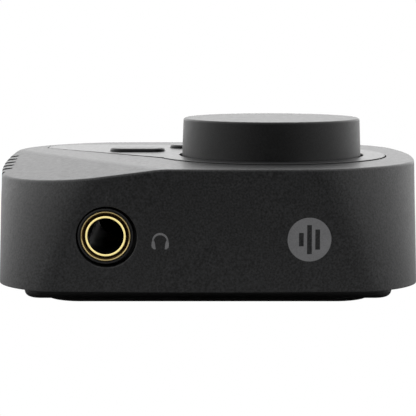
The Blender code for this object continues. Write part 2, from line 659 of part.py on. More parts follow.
def build_components(chip, can, dark):
    """Parts on the main board, and the header that joins the two boards."""
    floor = MAIN_BOARD_Z[1] + GAP
    finishes = {"crystal_can": can, "power_inductor": dark, "relay_block": dark}
    for name, (x, y, wide, deep, high) in BOARD_BOXES.items():
        low = (x - wide / 2, y - deep / 2, floor)
        block = box(low, (x + wide / 2, y + deep / 2, floor + high), PART_EDGE)
        add_object(name, block, finishes.get(name, chip), smooth=False)
    top = floor + CAN_HIGH
    profile = [(0, top), (CAN_R - CAN_EDGE, top), (CAN_R, top - CAN_EDGE), (CAN_R, floor), (0, floor)]
    for name, (x, y) in BOARD_CANS.items():
        add_object(name, moved(turned(profile, SMALL_STEPS), x, y), can)
    header_top = CONTROL_BOARD_Z[0] - GAP
    header = box((HEADER_X[0], HEADER_Y[0], floor), (HEADER_X[1], HEADER_Y[1], header_top), PART_EDGE)
    add_object("board_link_header", header, dark, smooth=False)


def main():
    clear_scene()
    material("cutter", (1, 0, 0), 0.5)
    body = material("shell_graphite", (0.035, 0.036, 0.038), 0.48)
    inlay = material("inlay_graphite", (0.045, 0.046, 0.048), 0.42)
    knob = material("knob_graphite", (0.030, 0.031, 0.033), 0.45)
    black = material("base_black", (0.012, 0.012, 0.013), 0.55)
    rubber = material("pad_rubber", (0.015, 0.015, 0.015), 0.85)
    button = material("button_rubber", (0.020, 0.020, 0.021), 0.60)
    plastic = material("jack_black", (0.010, 0.010, 0.011), 0.40)
    gold = material("gold_plate", (0.80, 0.58, 0.25), 0.22, 1.0)
    steel = material("steel", (0.62, 0.62, 0.63), 0.35, 1.0)
    brass = material("brass", (0.72, 0.56, 0.30), 0.35, 1.0)
    board = material("board_green", (0.02, 0.12, 0.05), 0.45)
    chip = material("chip_black", (0.02, 0.02, 0.022), 0.50)
    can = material("can_aluminium", (0.75, 0.75, 0.76), 0.30, 1.0)

    build_shell(body)
    build_inlay(inlay)
    build_base(black, rubber)
    build_screws(steel)
    build_boards(board)

    knob_axis = bpy.data.objects.new("knob_axis", None)
    knob_axis.location = (*KNOB_CENTRE, 0)
    bpy.context.scene.collection.objects.link(knob_axis)
    build_knob(knob, plastic, steel, knob_axis)
    build_encoder(can, steel, brass)

    for name, place in BUTTON_PLACES.items():
        joint = bpy.data.objects.new(f"{name}_button_axis", None)
        joint.location = (*place, 0)
        bpy.context.scene.collection.objects.link(joint)
        build_button(name, place, button, plastic, chip, joint)

    for name, facing in (("front", -1), ("rear", 1)):
        build_jack(name, facing, plastic, gold, brass)
    build_usb(steel, plastic)
    build_components(chip, can, plastic)


main()
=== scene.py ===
import json
import math

import bmesh
import bpy
from mathutils import Matrix, Vector


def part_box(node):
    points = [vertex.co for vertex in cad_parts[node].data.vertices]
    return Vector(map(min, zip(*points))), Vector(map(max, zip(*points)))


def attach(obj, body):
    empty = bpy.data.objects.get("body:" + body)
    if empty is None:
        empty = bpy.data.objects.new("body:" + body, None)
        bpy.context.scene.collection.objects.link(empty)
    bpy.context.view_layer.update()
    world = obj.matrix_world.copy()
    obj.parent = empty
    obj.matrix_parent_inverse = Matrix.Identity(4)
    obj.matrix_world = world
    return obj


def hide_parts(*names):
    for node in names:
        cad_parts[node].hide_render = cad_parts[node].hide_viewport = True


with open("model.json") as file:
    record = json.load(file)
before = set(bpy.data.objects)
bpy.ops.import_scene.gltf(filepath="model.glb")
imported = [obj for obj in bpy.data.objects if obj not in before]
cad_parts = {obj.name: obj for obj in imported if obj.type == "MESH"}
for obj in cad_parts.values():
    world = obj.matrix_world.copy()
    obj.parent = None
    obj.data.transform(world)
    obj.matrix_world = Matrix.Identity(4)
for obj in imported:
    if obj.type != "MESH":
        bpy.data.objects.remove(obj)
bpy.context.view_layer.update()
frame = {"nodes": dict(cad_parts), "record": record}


def middle_of(node):
    low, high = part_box(node)
    return (low + high) / 2


# Lengths are in metres throughout. GAP is the room left round the parts inside, BEYOND is how far
# a cutter goes past what it cuts, and edges sharper than these angles in degrees are left sharp
GAP = 0.0003
BEYOND = 0.002
SHARP = 40
SHELL_SHARP = 38
SLEEVE_SHARP = 50

# Shell: where two values are given, they are at its bottom edge and at its top
BODY_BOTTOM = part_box("top_shell")[0].z
BODY_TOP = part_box("top_shell")[1].z
BODY_HALF_WIDTH = (0.0402, 0.04045)
BODY_HALF_DEPTH = (0.0343, 0.0340)
BODY_CORNER = (0.0100, 0.0181)
SIDE_BOW = (0.0030, 0.0064)
FRONT_BOW = (0.0016, 0.0012)
TOP_FILLET = 0.00045
BOTTOM_FILLET = 0.00015
WALL = 0.002
CEILING = 0.0225
SHAFT_HOLE_R = 0.0038
VENT_YS = [-0.0147 + 0.0035 * i for i in range(6)]
VENT_INNER_XS = (-0.0385, -0.0376, -0.0378, -0.0380, -0.0382, -0.0383)
VENT_HALF_LENGTH = 0.004
VENT_HALF_WIDTH = 0.0007
VENT_LOW_Z = 0.0150

# Screws: pilot holes, and the bosses and posts that they are in; pairs are a low and a high end
PILOT_R = 0.0011
BASE_BOSS_R = 0.0024
BASE_PILOT_TOP = 0.0125
CONTROL_POST_R = 0.0021
CONTROL_POST_LOW = 0.0172
CONTROL_PILOT = (0.0153, 0.0212)
BOARD_POST_R = 0.0024
BOARD_POST_TOP = 0.0057
BOARD_PILOT = (0.0020, 0.0076)
SCREW_HOLE_R = 0.00125
SCREW_HOLE_TOP = 0.0076
SCREW_HEAD_R = 0.0024
SCREW_HEAD_TOP = 0.0029

# Falling facet at the front left of the top
FACET_START = Vector((-0.0065, -0.0340))
FACET_FALL = Vector((-0.819, -0.574)).normalized()
FACET_SLOPE = 0.162
FACET_BLEND = 0.0024
FACET_LOW_Z = 0.0185

# Knob
KNOB_LOW, KNOB_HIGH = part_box("knob_cap")
KNOB_CENTRE = middle_of("knob_cap").xy
KNOB_TOP_R = 0.01744
KNOB_BASE_R = 0.01774
KNOB_OPENING_R = 0.01825
KNOB_WALL = 0.0016
KNOB_ROOF = 0.0018
KNOB_TOP_EDGE = 0.00045
KNOB_FOOT_EDGE = 0.0002
KNOB_OPENING_EDGE = 0.0002

# Inlay: DIAGONAL_SEAM is the share of the seam that its diagonal edge has, and INLAY_RISE_LOST
# the share of its rise that is gone at its left end
INLAY_R = 0.0225
INLAY_LEFT = -0.0340
INLAY_CORNER = Vector((-0.0272, 0.0185))
INLAY_CORNER_R = 0.0068
INLAY_DIAGONAL = -0.0183
INLAY_SEAM = 0.00028
DIAGONAL_SEAM = 0.35
INLAY_UNDERCUT = 0.0002
INLAY_RISE = 0.00018
INLAY_RISE_LOST = 0.85
INLAY_EDGE = 0.00009
INLAY_OPENING_EDGE = 0.00010
INLAY_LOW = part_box("top_inlay")[0].z
POCKET_FLOOR = 0.0240

# Buttons: the dish in the top is rings, each a share of the top's width and how deep it lies
BUTTON_HALF = (0.0056, 0.0028)
BUTTON_GAP = 0.00018
BUTTON_FLANGE = 0.0008
BUTTON_EDGE = 0.0004
BUTTON_OPENING_EDGE = 0.00015
BUTTON_SINK = 0.00012
BUTTON_DISH = ((0.8, 0.00001), (0.55, 0.00003), (0.25, 0.00004))
BUTTON_DISH_RUN = 0.0020
BUTTON_PLACES = {side: middle_of(f"{side}_button_cap") for side in ("left", "right")}

# Sockets: a jack faces the front (-1) or the back (1)
JACKS = {"front": -1, "rear": 1}
JACK_HOLE_R = 0.0054
JACK_HOLE_SHIFT = (0.00015, -0.0001)
JACK_HOLE_DEPTH = 0.0045
SOCKET_HOLE_EDGE = 0.0003
JACK_BLOCK_HALF = (0.0070, 0.0056)
JACK_BLOCK_BEVEL = 0.0004
JACK_NECK = 0.0032
JACK_NOSE_R = 0.0050
JACK_NOSE_EDGE = 0.00028
JACK_NOSE_ROOT = 0.001
JACK_SLEEVE_ROOM = 0.0063
JACK_SLOT_HALF = (0.0014, 0.02)
JACK_SLOT_ENDS = (0.0015, 0.0095)
JACK_SLEEVE_R = 0.00447
JACK_BORE_R = 0.0032
JACK_LIP_R = 0.0036
JACK_LIP_DEPTH = 0.0008
SLEEVE_RIM = 0.00012
SLEEVE_GROOVES = 5
GROOVE_STEPS = 4
GROOVE_DEPTH = 0.000016
USB_LOW, USB_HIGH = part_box("usb_port_shell")
USB_MIDDLE = middle_of("usb_port_shell")
USB_HOLE_HALF = (0.00447, 0.00163)
USB_HOLE_DEPTH = 0.0035
USB_EDGE = 0.0001
USB_SHEET = 0.0003

# Base and pad
PLINTH_HALF = Vector((0.0341, 0.0262))
PLINTH_CORNER = 0.0035
PLINTH_EDGE = 0.0012
BASE_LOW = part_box("base_plate")[0]
BASE_HIGH_Z = 0.0049
BASE_STEP = 0.0038
PAD_LOW, PAD_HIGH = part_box("rubber_pad")
PAD_CORNER = 0.007
PAD_EDGE = 0.0003

# Printed marks, as (x, z) on the front face
INK = 0.00003
PHONES_MIDDLE = (-0.00845, 0.01284)
BAND_R = 0.00142
BAND_STEPS = 28
BAND_THIN = 0.00024
BAND_SWELL = 0.00014
CUP_OUTSIDE = ((-0.00143, 0.0001), (-0.00152, -0.0004), (-0.00156, -0.0008),
               (-0.00146, -0.0012), (-0.00112, -0.00150))
CUP_INSIDE = ((-0.00112, 0.0001), (-0.00098, -0.0002), (-0.00091, -0.0006),
              (-0.00085, -0.0011), (-0.00078, -0.00150))
MARK_MIDDLE = (0.01795, 0.01303)
MARK_R = 0.0039
MARK_BARS = ((-0.00145, 0.0012), (0.0, 0.0026), (0.00145, 0.0018))
MARK_BAR_HALF_WIDTH = 0.00042
MARK_REACH = 0.995
MARK_STEPS = 10

# Studio: LEVELS are how bright the world is from the front (0) to the back (1), OVERHEAD is how
# bright it is above; the camera's pitch is in degrees down, its lens and sensor are in millimetres
FLOOR_HALF = 1.5
BRIGHTEST = 2.6
OVERHEAD = 0.85
LEVELS = ((0.0, 0.02), (0.03, 0.05), (0.10, 0.5), (0.22, 1.05), (0.5, 1.35), (0.8, 2.1), (1.0, 2.6))
CAMERA_PLACE = (0.0, -0.26635, 0.04689)
CAMERA_PITCH = 6.92
CAMERA_LENS = 114.95
CAMERA_SENSOR = 36
CAMERA_CLIP = 0.01


# ---------------------------------------------------------------- materials

def new_tree(owner):
    owner.use_nodes = True
    tree = owner.node_tree
    tree.nodes.clear()
    return tree


def add(tree, kind, **values):
    """Adds a node; each value sets a property of that name, or else an input (with _ for a space)."""
    node = tree.nodes.new(kind)
    for key, value in values.items():
        if hasattr(node, key):
            setattr(node, key, value)
        else:
            node.inputs[key.replace("_", " ")].default_value = value
    return node


def noise(tree, place, scale, detail=3.0):
    node = add(tree, "ShaderNodeTexNoise", Scale=scale, Detail=detail, Roughness=0.55)
    tree.links.new(place, node.inputs["Vector"])
    return node.outputs["Fac"]


def spread(tree, value, low, high, start=0.3, end=0.7):
    """Maps start to end onto low to high."""
    node = add(tree, "ShaderNodeMapRange", From_Min=start, From_Max=end, To_Min=low, To_Max=high)
    tree.links.new(value, node.inputs["Value"])
    return node.outputs["Result"]


def times(tree, first, second):
    node = add(tree, "ShaderNodeMath", operation="MULTIPLY")
    tree.links.new(first, node.inputs[0])
    tree.links.new(second, node.inputs[1])
    return node.outputs["Value"]


def tint(tree, colour, factor):
    node = add(tree, "ShaderNodeVectorMath", operation="SCALE")
    node.inputs[0].default_value = colour
    tree.links.new(factor, node.inputs["Scale"])
    return node.outputs["Vector"]


def bump(tree, height, distance):
    node = add(tree, "ShaderNodeBump", Strength=1.0, Distance=distance)
    tree.links.new(height, node.inputs["Height"])
    return node.outputs["Normal"]


def surface(tree, colour, roughness, normal, metallic=0.0, ior=1.5):
    shader = add(tree, "ShaderNodeBsdfPrincipled", Metallic=metallic, IOR=ior)
    tree.links.new(colour, shader.inputs["Base Color"])
    tree.links.new(roughness, shader.inputs["Roughness"])
    tree.links.new(normal, shader.inputs["Normal"])
    out = add(tree, "ShaderNodeOutputMaterial")
    tree.links.new(shader.outputs["BSDF"], out.inputs["Surface"])
    return shader


def place_of(tree, stretch=(1, 1, 1)):
    coordinates = add(tree, "ShaderNodeTexCoord")
    mapping = add(tree, "ShaderNodeMapping", Scale=stretch)
    tree.links.new(coordinates.outputs["Object"], mapping.inputs["Vector"])
    return mapping.outputs["Vector"]


def white_to_camera(tree, shader, white):
    """Shows plain white to the camera, and the shader to every other ray."""
    path = add(tree, "ShaderNodeLightPath")
    seen = add(tree, "ShaderNodeMixShader")
    tree.links.new(path.outputs["Is Camera Ray"], seen.inputs["Fac"])
    tree.links.new(shader, seen.inputs[1])
    tree.links.new(white, seen.inputs[2])
    return seen.outputs["Shader"]


def plastic(name, colour, roughness, grain, depth, mottle=0.10, edge_light=0.25, speckle=0.1, ior=1.5):
    """Moulded plastic: fine spark-eroded grain, slow mottling, and edges painted a little lighter as a
    highlight.
    """
    made = bpy.data.materials.new("look_" + name)
    tree = new_tree(made)
    place = place_of(tree)
    fine = noise(tree, place, grain, 2.0)
    slow = noise(tree, place, 260, 4.0)
    shade = spread(tree, slow, 1 - mottle, 1 + mottle)
    dots = spread(tree, fine, 1 - speckle, 1 + speckle)
    edge = add(tree, "ShaderNodeNewGeometry").outputs["Pointiness"]
    # Painted highlight: pointiness picks out the convex edges, and these are painted lighter
    lit_edges = spread(tree, edge, 1.0, 1.0 + edge_light, start=0.52, end=0.60)
    colour_out = tint(tree, colour, times(tree, times(tree, shade, dots), lit_edges))
    rough_out = spread(tree, noise(tree, place, 900), roughness - 0.03, roughness + 0.03)
    surface(tree, colour_out, rough_out, bump(tree, fine, depth), ior=ior)
    return made


def metal(name, colour, roughness, stretch=(1, 1, 1), depth=0.000003, glint=0.0):
    """Plated or drawn metal: brushed lines, slow stains, and where asked a painted glint, with the metal
    glowing in its own colour.
    """
    made = bpy.data.materials.new("look_" + name)
    tree = new_tree(made)
    place = place_of(tree, stretch)
    lines = noise(tree, place, 2600)
    stains = noise(tree, place_of(tree), 420)
    colour_out = tint(tree, colour, spread(tree, stains, 0.90, 1.04))
    rough_out = spread(tree, lines, roughness - 0.05, roughness + 0.07)
    shader = surface(tree, colour_out, rough_out, bump(tree, lines, depth), metallic=1.0)
    # Painted glint: an emission in the metal's own colour, as strong as glint asks
    shader.inputs["Emission Color"].default_value = (*colour, 1)
    shader.inputs["Emission Strength"].default_value = glint
    return made


def circuit(name):
    """Solder mask over copper: raised traces under a green gloss."""
    made = bpy.data.materials.new("look_" + name)
    tree = new_tree(made)
    place = place_of(tree)
    cells = add(tree, "ShaderNodeTexVoronoi",
                feature="DISTANCE_TO_EDGE", distance="EUCLIDEAN", Scale=420)
    tree.links.new(place, cells.inputs["Vector"])
    traces = spread(tree, cells.outputs["Distance"], 1.0, 0.0, start=0.04, end=0.07)
    shade = spread(tree, traces, 0.8, 1.5, start=0.0, end=1.0)
    rough_out = spread(tree, noise(tree, place, 700), 0.32, 0.48)
    surface(tree, tint(tree, (0.02, 0.12, 0.05), shade), rough_out, bump(tree, traces, 0.00003))
    return made


# Plastics say their colour, roughness, how fine the grain is and how deep it is; one keyword sets how
# much lighter their edges are painted, as a highlight
LOOKS = {
    "shell_graphite": plastic("shell_graphite", (0.015, 0.0152, 0.0158), 0.44, 2700, 0.00002,
                              edge_light=0.4, speckle=0.9),
    "inlay_graphite": plastic("inlay_graphite", (0.020, 0.0202, 0.021), 0.39, 3600, 0.000006,
                              mottle=0.08, edge_light=0.4, speckle=0.3),
    "knob_graphite": plastic("knob_graphite", (0.007, 0.0071, 0.0074), 0.44, 3600, 0.00001,
                             mottle=0.08, edge_light=0.3, speckle=0.5, ior=1.43),
    "base_black": plastic("base_black", (0.006, 0.006, 0.0065), 0.55, 3800, 0.00001),
    "pad_rubber": plastic("pad_rubber", (0.008, 0.008, 0.008), 0.80, 2600, 0.00003, mottle=0.2),
    "button_rubber": plastic("button_rubber", (0.012, 0.012, 0.0125), 0.42, 4200, 0.000005),
    "jack_black": plastic("jack_black", (0.006, 0.006, 0.0065), 0.36, 5200, 0.000005),
    "chip_black": plastic("chip_black", (0.018, 0.018, 0.02), 0.5, 3600, 0.00001),
    "gold_plate": metal("gold_plate", (1.0, 0.78, 0.36), 0.16),
    # Painted shade: the countersink's gold is a darker copy of the plate's
    "gold_shaded_cone": metal("gold_shaded_cone", (0.22, 0.16, 0.072), 0.34),
    # Painted glint: the lip's gold is a brighter copy that glows
    "gold_glowing_lip": metal("gold_glowing_lip", (1.0, 0.84, 0.36), 0.26, depth=0.000001, glint=0.62),
    "steel": metal("steel", (0.60, 0.60, 0.62), 0.32),
    "brass": metal("brass", (0.78, 0.60, 0.32), 0.34),
    "can_aluminium": metal("can_aluminium", (0.78, 0.78, 0.79), 0.28, stretch=(1, 1, 0.05)),
    "board_green": circuit("board_green"),
    "print_grey": plastic("print_grey", (0.20, 0.20, 0.205), 0.55, 4200, 0.000004,
                          mottle=0.06, edge_light=0.0),
}

SLOTS = {part["node"]: part["material_slot"] for part in frame["record"]["subparts"]}


def dress(obj, slot):
    obj.data.materials.clear()
    obj.data.materials.append(LOOKS[slot])


for name, node in frame["nodes"].items():
    dress(node, SLOTS[name])


# ---------------------------------------------------------------- geometry helpers

def loft(rings):
    """A closed body through rings of equally many points, from its lower end to its upper."""
    bm = bmesh.new()
    loops = [[bm.verts.new(point) for point in ring] for ring in rings]
    for lower, upper in zip(loops, loops[1:]):
        for i in range(len(lower)):
            j = (i + 1) % len(lower)
            bm.faces.new((lower[i], lower[j], upper[j], upper[i]))
    bm.faces.new(reversed(loops[0]))
    bm.faces.new(loops[-1])
    return bm


def at_height(outline, z):
    return [(x, y, z) for x, y in outline]


def shifted(outline, x, y):
    return [(px + x, py + y) for px, py in outline]


def polar(centre, radius, angle):
    return centre[0] + radius * math.cos(angle), centre[1] + radius * math.sin(angle)


def arc(centre, radius, start, end, steps):
    angles = [math.radians(start + (end - start) * i / steps) for i in range(steps + 1)]
    return [polar(centre, radius, angle) for angle in angles]


def quarter_round(radius, steps):
    """Pairs of how far in and how far down a rounded edge is, from its foot to its top.

    Taken the other way round, as how far up and how far in, they are a rounded lower edge.
    """
    turns = [math.radians(90 * i / steps) for i in range(steps + 1)]
    return [(radius * (1 - math.cos(turn)), radius * (1 - math.sin(turn))) for turn in turns]


def circle(centre, radius, steps=96):
    return arc(centre, radius, 0, 360 * (steps - 1) / steps, steps - 1)


def rounded_rectangle(half, radius, corner_steps=16, side_steps=1):
    corners = [(1, -1, -90), (1, 1, 0), (-1, 1, 90), (-1, -1, 180)]
    points = []
    for sx, sy, start in corners:
        middle = (sx * (half[0] - radius), sy * (half[1] - radius))
        points.append(arc(middle, radius, start, start + 90, corner_steps))
    outline = []
    for here, following in zip(points, points[1:] + points[:1]):
        outline += here
        for i in range(1, side_steps):
            outline.append(tuple(Vector(here[-1]).lerp(Vector(following[0]), i / side_steps)))
    return outline


def pill(half_length, half_width, steps=14):
    run = half_length - half_width
    return arc((run, 0), half_width, -90, 90, steps) + arc((-run, 0), half_width, 90, 270, steps)


def cylinder(centre, radius, low, high, steps=24):
    outline = circle(centre, radius, steps)
    return loft([at_height(outline, low), at_height(outline, high)])


def box(low, high, bevel=0.0):
    bm = bmesh.new()
    bmesh.ops.create_cube(bm, size=1.0)
    middle = (Vector(high) + Vector(low)) / 2
    size = Vector(high) - Vector(low)
    bmesh.ops.transform(bm, matrix=Matrix.LocRotScale(middle, None, size), verts=bm.verts)
    if bevel:
        bmesh.ops.bevel(bm, geom=bm.edges[:], offset=bevel, segments=3, affect="EDGES", profile=0.5)
    return bm


def turned(profile, steps=96, closed=False):
    """Spins (radius, z) points about Z; a closed profile ends where it starts."""
    bm = bmesh.new()
    verts = [bm.verts.new((r, 0, z)) for r, z in profile]
    pairs = list(zip(verts, verts[1:]))
    if closed:
        pairs.append((verts[-1], verts[0]))
    edges = [bm.edges.new(pair) for pair in pairs]
    bmesh.ops.spin(bm, geom=verts + edges, axis=(0, 0, 1), cent=(0, 0, 0),
                   angle=math.tau, steps=steps, use_merge=True)
    bmesh.ops.remove_doubles(bm, verts=bm.verts, dist=0.0000005)
    return bm


def flared(outline_of, floor, top, edge):
    """A cutter whose upper end widens through a quarter round, which rounds over the rim of the cut."""
    rings = [at_height(outline_of(0.0), floor)]
    for grow, drop in quarter_round(edge, 5):
        rings.append(at_height(outline_of(grow), top - drop))
    rings.append(at_height(outline_of(edge), top + BEYOND))
    return loft(rings)


def moved(bm, x=0.0, y=0.0, z=0.0):
    bmesh.ops.translate(bm, verts=bm.verts, vec=(x, y, z))
    return bm


def laid(bm, x, y, z, facing):
    """Lays a body built about Z so that its top points out of the front (facing -1) or the back (1)."""
    turn = Matrix.Rotation(-facing * math.pi / 2, 3, "X")
    bmesh.ops.rotate(bm, verts=bm.verts, cent=(0, 0, 0), matrix=turn)
    return moved(bm, x, y, z)


def to_object(name, bm):
    bmesh.ops.recalc_face_normals(bm, faces=bm.faces)
    mesh = bpy.data.meshes.new(name)
    bm.to_mesh(mesh)
    bm.free()
    obj = bpy.data.objects.new(name, mesh)
    bpy.context.scene.collection.objects.link(obj)
    return obj


def solid(name, bm, cuts=(), joins=()):
    """The body with other bodies joined to it and cut from it, as one plain mesh."""
    obj = to_object(name, bm)
    helpers = []
    for operation, bodies in (("UNION", joins), ("DIFFERENCE", cuts)):
        for body in bodies:
            helper = to_object(name + "_helper", body)
            modifier = obj.modifiers.new("shape", "BOOLEAN")
            modifier.operation = operation
            modifier.object = helper
            modifier.solver = "EXACT"
            helpers.append(helper)
    if helpers:
        bpy.context.view_layer.update()
        graph = bpy.context.evaluated_depsgraph_get()
        shaped = bpy.data.meshes.new_from_object(obj.evaluated_get(graph))
        obj.modifiers.clear()
        obj.data = shaped
        for helper in helpers:
            bpy.data.objects.remove(helper, do_unlink=True)
    return obj


def piece(obj, body, slot, node=None, sharp=SHARP):
    """Finishes a mesh as a piece of the object: its look, its shading and the body that it rides on."""
    dress(obj, slot)
    for polygon in obj.data.polygons:
        polygon.material_index = 0
    obj.data.shade_smooth()
    obj.data.set_sharp_from_angle(angle=math.radians(sharp))
    weighted = obj.modifiers.new("weighted", "WEIGHTED_NORMAL")
    weighted.keep_sharp = True
    weighted.weight = 50
    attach(obj, body)
    if node:
        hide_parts(node)


# ---------------------------------------------------------------- shell

def bowed_outline(end, inset, corner_steps, side_steps):
    """The body's outline at its bottom edge (end 0) or its top (1), with sides that bow outwards."""
    half = (BODY_HALF_WIDTH[end] - inset, BODY_HALF_DEPTH[end] - inset)
    outline = []
    for x, y in rounded_rectangle(half, BODY_CORNER[end] - inset, corner_steps, side_steps):
        across = x / half[0]
        along = y / half[1]
        bowed_x = x - SIDE_BOW[end] * across * along**2
        bowed_y = y - FRONT_BOW[end] * along * across**2
        outline.append((bowed_x, bowed_y))
    return outline


def body_ring(inset, z, corner_steps=20, side_steps=18):
    share = (z - BODY_BOTTOM) / (BODY_TOP - BODY_BOTTOM)
    lows, highs = (bowed_outline(end, inset, corner_steps, side_steps) for end in (0, 1))
    return [(*Vector(low).lerp(Vector(high), share), z) for low, high in zip(lows, highs)]


def facet_depth(x, y):
    """How far the facet falls here: as a parabola through the blend, then evenly."""
    distance = (Vector((x, y)) - FACET_START).dot(FACET_FALL)
    if distance < FACET_BLEND:
        return FACET_SLOPE * max(distance, 0.0) ** 2 / (2 * FACET_BLEND)
    return FACET_SLOPE * (distance - FACET_BLEND / 2)


def sink_facet(bm, strips):
    """Cuts the body along the rounded upper edge of the facet, then lowers its upper part to it."""
    for i in range(strips + 1):
        point = FACET_START + FACET_FALL * (FACET_BLEND * i / strips)
        bmesh.ops.bisect_plane(
            bm,
            geom=bm.verts[:] + bm.edges[:] + bm.faces[:],
            plane_co=(*point, 0.0),
            plane_no=(*FACET_FALL, 0.0),
        )
    for vert in bm.verts:
        if vert.co.z > FACET_LOW_Z:
            vert.co.z -= facet_depth(vert.co.x, vert.co.y)
    return bm


def shell_block():
    rings = []
    for rise, inset in quarter_round(BOTTOM_FILLET, 3):
        rings.append(body_ring(inset, BODY_BOTTOM + rise))
    rings.append(body_ring(0.0, FACET_LOW_Z - GAP))
    for inset, drop in quarter_round(TOP_FILLET, 7):
        rings.append(body_ring(inset, BODY_TOP - drop))
    return sink_facet(loft(rings), 12)


def cavity_block():
    heights = (BODY_BOTTOM - WALL, FACET_LOW_Z - GAP, CEILING)
    rings = [body_ring(WALL, z, corner_steps=10, side_steps=6) for z in heights]
    return sink_facet(loft(rings), 4)


def inlay_outline(grow):
    """Round the knob, a straight run to the rounded left corner, down, and back along the diagonal."""
    radius = INLAY_R + grow
    diagonal = INLAY_DIAGONAL - grow * math.sqrt(2) * (DIAGONAL_SEAM if grow > 0 else 1)
    left = INLAY_LEFT - grow
    corner_r = INLAY_CORNER_R + grow
    to_line = (diagonal - KNOB_CENTRE.x - KNOB_CENTRE.y) / math.sqrt(2)
    meet = 225 - math.degrees(math.acos(-to_line / radius))
    between = INLAY_CORNER - KNOB_CENTRE
    lean = math.degrees(math.asin((radius - corner_r) / between.length))
    tangent = math.degrees(math.atan2(between.y, between.x)) - 90 + lean
    outline = arc(KNOB_CENTRE, radius, meet - 360, tangent, 120)
    outline += arc(INLAY_CORNER, corner_r, tangent, 180, 20)
    outline.append((left, diagonal - left))
    return outline


def screw_places(prefix):
    return [middle_of(name).xy for name in frame["nodes"] if name.startswith(prefix)]


def front_face_y(x, z):
    """Where the shell's front surface is, at this x and z."""
    ring = [(px, py) for px, py, _ in body_ring(0.0, z) if py < 0]
    ring.sort()
    for (x0, y0), (x1, y1) in zip(ring, ring[1:]):
        if x0 <= x <= x1 and x1 > x0:
            return y0 + (y1 - y0) * (x - x0) / (x1 - x0)
    return ring[0][1]


def socket_cuts():
    """Round holes for the two jacks and a slot for the USB port, each with its rim rounded over."""
    cuts = []
    for side, facing in JACKS.items():
        middle = middle_of(f"{side}_jack_sleeve")
        x = middle.x + JACK_HOLE_SHIFT[0]
        z = middle.z + JACK_HOLE_SHIFT[1]
        y = facing * abs(front_face_y(x, z))
        hole = flared(lambda g: circle((0, 0), JACK_HOLE_R + g), -JACK_HOLE_DEPTH, 0.0, SOCKET_HOLE_EDGE)
        cuts.append(laid(hole, x, y, z, facing))

    def usb_outline(grow):
        return pill(*(half + 2 * GAP + grow for half in USB_HOLE_HALF))

    y = abs(front_face_y(USB_MIDDLE.x, USB_MIDDLE.z))
    slot = flared(usb_outline, -USB_HOLE_DEPTH, 0.0, SOCKET_HOLE_EDGE)
    cuts.append(laid(slot, USB_MIDDLE.x, y, USB_MIDDLE.z, 1))
    return cuts


def build_shell():
    hollowed = solid("shell_hollow", shell_block(), [cavity_block()])
    hollow = bmesh.new()
    hollow.from_mesh(hollowed.data)
    bpy.data.objects.remove(hollowed, do_unlink=True)
    # The bosses go in after the cavity, and their holes after them
    cuts = [flared(lambda g: inlay_outline(INLAY_SEAM + g), POCKET_FLOOR, BODY_TOP, INLAY_OPENING_EDGE)]
    joins = []
    for place in screw_places("base_screw"):
        joins.append(cylinder(place, BASE_BOSS_R, BASE_HIGH_Z + GAP, CEILING + GAP))
        cuts.append(cylinder(place, PILOT_R, 0.0, BASE_PILOT_TOP, 16))
    for place in screw_places("control_screw"):
        joins.append(cylinder(place, CONTROL_POST_R, CONTROL_POST_LOW, CEILING + GAP))
        cuts.append(cylinder(place, PILOT_R, *CONTROL_PILOT, 16))
    cuts.append(cylinder(KNOB_CENTRE, SHAFT_HOLE_R, CEILING - WALL, BODY_TOP, 48))
    for place in BUTTON_PLACES.values():
        outline = shifted(pill(BUTTON_HALF[0] + GAP, BUTTON_HALF[1] + GAP), place.x, place.y)
        cuts.append(loft([at_height(outline, CEILING - WALL), at_height(outline, BODY_TOP)]))
    cuts += socket_cuts()
    for inner_x, y in zip(VENT_INNER_XS, VENT_YS):
        outline = shifted(pill(VENT_HALF_LENGTH, VENT_HALF_WIDTH, 8), inner_x - VENT_HALF_LENGTH, y)
        cuts.append(loft([at_height(outline, VENT_LOW_Z), at_height(outline, BODY_TOP + WALL)]))
    shell = solid("visual_top_shell", hollow, cuts, joins)
    piece(shell, "chassis", "shell_graphite", "top_shell", SHELL_SHARP)


def build_inlay():
    top = BODY_TOP + INLAY_RISE
    under = inlay_outline(-INLAY_UNDERCUT)
    rings = [at_height(under, INLAY_LOW), at_height(under, BODY_TOP - GAP)]
    for inset, drop in quarter_round(INLAY_EDGE, 5):
        rings.append(at_height(inlay_outline(-inset), top - drop))
    plate = loft(rings)
    # It stands a little proud of the shell round the knob, and is nearly flush at its left end
    for vert in plate.verts:
        if vert.co.z > BODY_TOP - GAP / 2:
            leftward = min(max(vert.co.x / INLAY_LEFT, 0.0), 1.0)
            vert.co.z -= INLAY_RISE_LOST * INLAY_RISE * leftward

    def opening(grow):
        return circle(KNOB_CENTRE, KNOB_OPENING_R + grow, 160)

    cuts = [flared(opening, POCKET_FLOOR, top, KNOB_OPENING_EDGE)]
    for place in BUTTON_PLACES.values():
        def outline(grow, place=place):
            shape = pill(BUTTON_HALF[0] + BUTTON_GAP + grow, BUTTON_HALF[1] + BUTTON_GAP + grow)
            return shifted(shape, place.x, place.y)
        cuts.append(flared(outline, POCKET_FLOOR, top, BUTTON_OPENING_EDGE))
    inlay = solid("visual_top_inlay", plate, cuts)
    piece(inlay, "chassis", "inlay_graphite", "top_inlay", SHELL_SHARP)


# ---------------------------------------------------------------- knob and buttons

